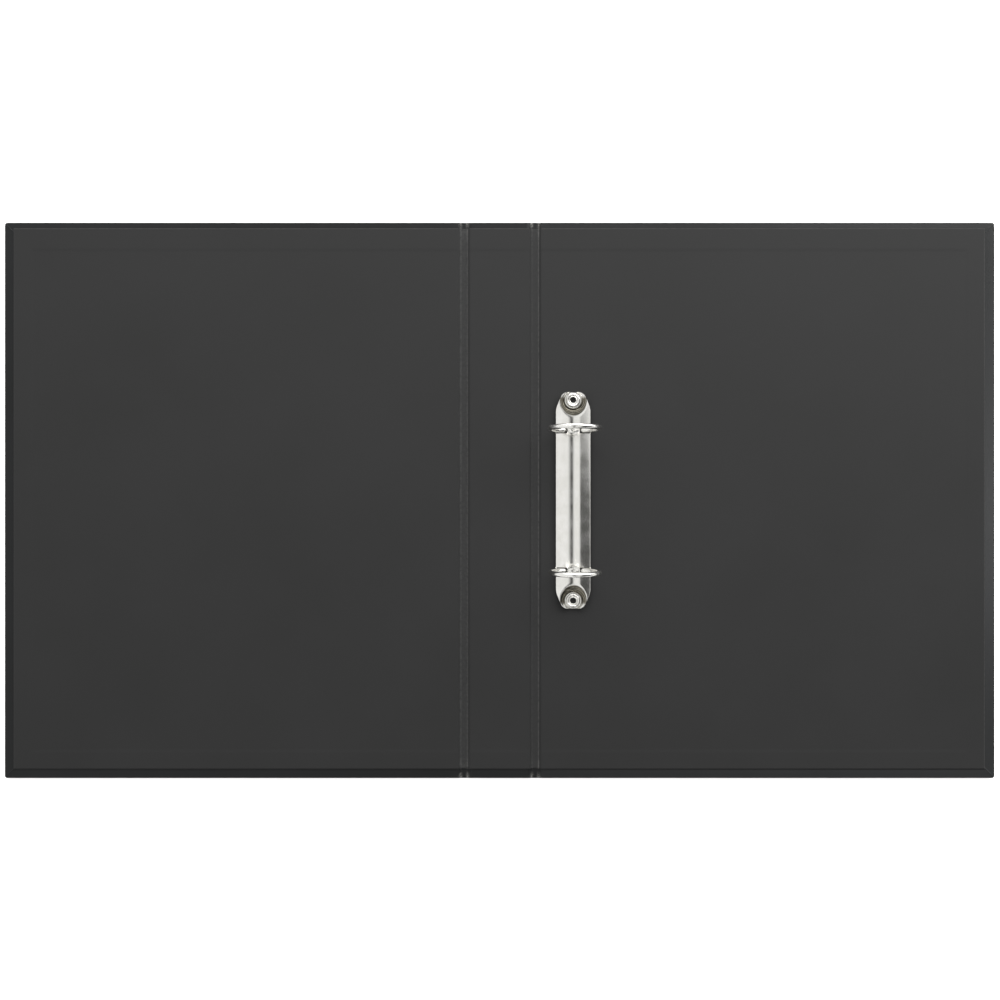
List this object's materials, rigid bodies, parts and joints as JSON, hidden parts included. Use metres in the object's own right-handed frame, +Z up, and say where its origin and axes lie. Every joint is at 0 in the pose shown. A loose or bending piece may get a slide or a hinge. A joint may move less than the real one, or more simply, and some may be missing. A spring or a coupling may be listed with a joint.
{
  "type": "ring binder",
  "caption": "A4 ring binder lying open and flat, inside up, with hinged covers and a riveted ring mechanism whose round rings spread open.",
  "frame": {"origin": "on the table under the middle of the open binder, which is the middle of the spine", "axes": "+X from the front cover towards the back cover, +Y along the spine towards its head, +Z up off the table, out of the inside faces"},
  "size_m": [0.57, 0.32, 0.0352],
  "materials": {
    "covering": "satin, coated",
    "lining": "matte",
    "greyboard": "matte",
    "nickel": "polished"
  },
  "bodies": {
    "back_cover": {"back_board": "greyboard", "back_covering": "covering", "back_lining": "lining", "back_hinge_covering": "covering", "back_hinge_lining": "lining", "housing": "nickel", "head_rivet": "nickel", "tail_rivet": "nickel"},
    "spine": {"spine_board": "greyboard", "spine_covering": "covering", "spine_lining": "lining", "front_hinge_covering": "covering", "front_hinge_lining": "lining"},
    "front_cover": {"front_board": "greyboard", "front_covering": "covering", "front_lining": "lining"},
    "left_rings": {"left_blade": "nickel", "head_left_half_ring": "nickel", "tail_left_half_ring": "nickel"},
    "right_rings": {"right_blade": "nickel", "head_right_half_ring": "nickel", "tail_right_half_ring": "nickel"}
  },
  "joints": [
    {"name": "back_hinge", "type": "hinge", "parent": "back_cover", "child": "spine", "pos_m": [0.0205, 0, 0.00025], "axis": [0, 1, 0], "range_deg": [0, 90], "deforming": ["back_hinge_covering", "back_hinge_lining"]},
    {"name": "front_hinge", "type": "hinge", "parent": "spine", "child": "front_cover", "pos_m": [-0.0205, 0, 0.00025], "axis": [0, 1, 0], "range_deg": [0, 90], "deforming": ["front_hinge_covering", "front_hinge_lining"]},
    {"name": "right_rings_open", "type": "hinge", "parent": "back_cover", "child": "right_rings", "pos_m": [0.0511, 0, 0.00405], "axis": [0, 1, 0], "range_deg": [0, 13]},
    {"name": "left_rings_open", "type": "hinge", "parent": "back_cover", "child": "left_rings", "pos_m": [0.0333, 0, 0.00405], "axis": [0, -1, 0], "range_deg": [0, 13]}
  ],
  "couplings": [
    {"joint": "left_rings_open", "follows": "right_rings_open", "ratio": 1}
  ]
}
